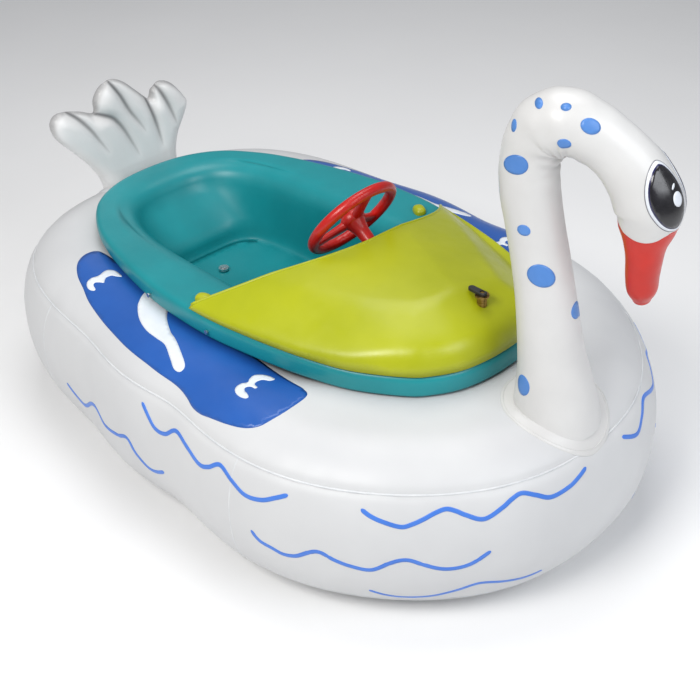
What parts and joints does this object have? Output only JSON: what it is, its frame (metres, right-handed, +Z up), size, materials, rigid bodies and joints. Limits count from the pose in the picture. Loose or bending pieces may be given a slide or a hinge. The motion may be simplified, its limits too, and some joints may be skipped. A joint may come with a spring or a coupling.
{
  "type": "pedal boat",
  "caption": "Child's pedal boat: inflated ring with a bird neck, head and fan tail round a rigid tub with seat, hood, steering wheel, rudder and pedal-driven paddle wheel.",
  "frame": {"origin": "on the ground plane at the middle of the tub's flat underside in width, 30 mm ahead of the middle of the ring's length", "axes": "+X towards the bow (the bird's neck), +Y to port, +Z up"},
  "size_m": [1.9212, 1.2726, 1.2006],
  "materials": {
    "pvc_white": "smooth welded PVC film with printed waves and wings",
    "pvc_red": "red-orange PVC film",
    "tub_teal": "moulded plastic, fine grain",
    "hood_lime": "moulded plastic, semi gloss",
    "wheel_red": "moulded plastic",
    "lock_brass": "satin brass",
    "black_plastic": "moulded nylon",
    "cap_grey": "moulded plastic",
    "teal_trim": "moulded plastic",
    "steel": "stainless steel",
    "alu": "cast and machined",
    "rubber_black": "matt rubber",
    "foam_grey": "closed-cell foam",
    "pedal_black": "ribbed moulded plastic",
    "paddle_white": "moulded plastic",
    "rudder_teal": "moulded plastic"
  },
  "bodies": {
    "hull": {"buoyancy_tube": "pvc_white", "swan_neck": "pvc_white", "swan_head": "pvc_white", "beak": "pvc_red", "neck_collar": "pvc_white", "tail_fan": "pvc_white", "tail_flange": "pvc_white", "cockpit_tub": "tub_teal", "side_pads": "foam_grey", "drain_plug": "black_plastic", "hood_cleats": "teal_trim", "helm_bush": "black_plastic", "helm_bracket": "alu", "bracket_bolts": "steel", "steering_conduit": "rubber_black", "conduit_end": "black_plastic", "conduit_clips": "black_plastic", "riser_grommet": "rubber_black", "rudder_trunk": "black_plastic", "crank_bearings": "black_plastic", "bearing_screws": "steel", "valve_bodies": "black_plastic", "valve_caps": "cap_grey", "coaming_screws": "steel"},
    "hood": {"hood": "hood_lime", "lock_barrel": "lock_brass"},
    "lock": {"lock_spindle": "lock_brass", "lock_lever": "black_plastic"},
    "steering": {"steering_wheel": "wheel_red", "steering_shaft": "steel", "hub_cap": "wheel_red", "hub_nut": "steel", "cable_drum": "alu"},
    "rudder": {"rudder_stock": "steel", "stock_collar": "steel", "rudder_arm": "alu", "rudder_pin": "steel", "rudder_blade": "rudder_teal"},
    "link": {"link_yoke": "steel"},
    "crank": {"crank_shaft": "steel", "shaft_collars": "steel", "crank_arm_left": "alu", "crank_arm_right": "alu", "pedal_spindles": "steel", "paddle_wheel": "paddle_white"},
    "pedal_l": {"pedal_left": "pedal_black"},
    "pedal_r": {"pedal_right": "pedal_black"}
  },
  "joints": [
    {"name": "hood_lift", "type": "slide", "parent": "hull", "child": "hood", "axis": [0, 0, 1], "range_m": [0, 0.06]},
    {"name": "hood_lock", "type": "hinge", "parent": "hood", "child": "lock", "pos_m": [0.551, 0, 0.62], "axis": [0, 0, 1], "range_deg": [0, 90]},
    {"name": "steering", "type": "hinge", "parent": "hull", "child": "steering", "pos_m": [0.12, 0, 0.667], "axis": [-0.829, 0, 0.5592], "range_deg": [-95, 95]},
    {"name": "rudder_turn", "type": "hinge", "parent": "hull", "child": "rudder", "pos_m": [-0.45, 0, 0.2], "axis": [0, 0, 1], "range_deg": [-36, 36]},
    {"name": "link_slide", "type": "slide", "parent": "hull", "child": "link", "axis": [1, 0, 0], "range_m": [-0.038, 0.038]},
    {"name": "crank_spin", "type": "hinge", "parent": "hull", "child": "crank", "pos_m": [0.25, 0, 0.25], "axis": [0, 1, 0], "continuous": true},
    {"name": "pedal_left_spin", "type": "hinge", "parent": "crank", "child": "pedal_l", "pos_m": [0.25, 0.148, 0.34], "axis": [0, 1, 0], "continuous": true},
    {"name": "pedal_right_spin", "type": "hinge", "parent": "crank", "child": "pedal_r", "pos_m": [0.25, -0.148, 0.16], "axis": [0, 1, 0], "continuous": true}
  ],
  "couplings": [
    {"joint": "rudder_turn", "follows": "steering", "ratio": -0.3684},
    {"joint": "link_slide", "follows": "steering", "m_per_rad": 0.0221}
  ]
}
